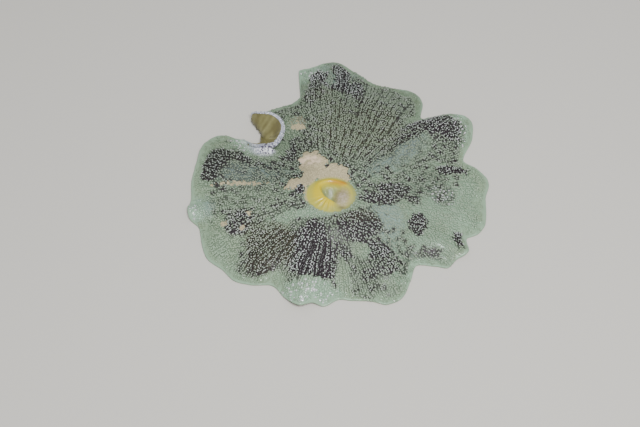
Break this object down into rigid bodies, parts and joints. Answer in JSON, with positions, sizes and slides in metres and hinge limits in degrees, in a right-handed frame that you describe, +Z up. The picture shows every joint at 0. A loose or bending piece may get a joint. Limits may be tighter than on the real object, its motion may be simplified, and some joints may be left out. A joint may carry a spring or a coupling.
{
  "type": "sea anemone",
  "caption": "Carpet sea anemone spread flat: wide lobed oral disc densely covered with short tentacles, one margin curled back, soft lips, squat column and flat pedal disc.",
  "frame": {"origin": "centre of the pedal disc's flat sole, on the floor under the mouth", "axes": "+X and +Y along the floor, the longest extent along X, the curled stretch of margin towards -X +Y; +Z up, out of the mouth"},
  "size_m": [0.4051, 0.3905, 0.0347],
  "materials": {
    "oral_flesh": "wet, soft, pale sage green with near-black gaps between the tentacles",
    "lip_flesh": "wet, pleated, yellow",
    "throat_flesh": "wet, whitish green",
    "column_flesh": "wet, olive with faint lines",
    "foot_flesh": "damp, matt beige"
  },
  "bodies": {
    "root": {"lobe_north": "oral_flesh", "lobe_north_north_east": "oral_flesh", "lobe_north_east": "oral_flesh", "lobe_east": "oral_flesh", "lobe_south_east": "oral_flesh", "lobe_south_south_east": "oral_flesh", "lobe_south": "oral_flesh", "lobe_south_west": "oral_flesh", "lobe_west_south_west": "oral_flesh", "lobe_west": "oral_flesh", "lobe_west_north_west": "oral_flesh", "lobe_north_west": "oral_flesh", "disc_under_curl": "oral_flesh", "curl_south_east": "oral_flesh", "curl_east": "oral_flesh", "curl_north": "oral_flesh", "lips": "lip_flesh", "throat": "throat_flesh", "column": "column_flesh", "pedal_disc": "foot_flesh"}
  },
  "joints": []
}
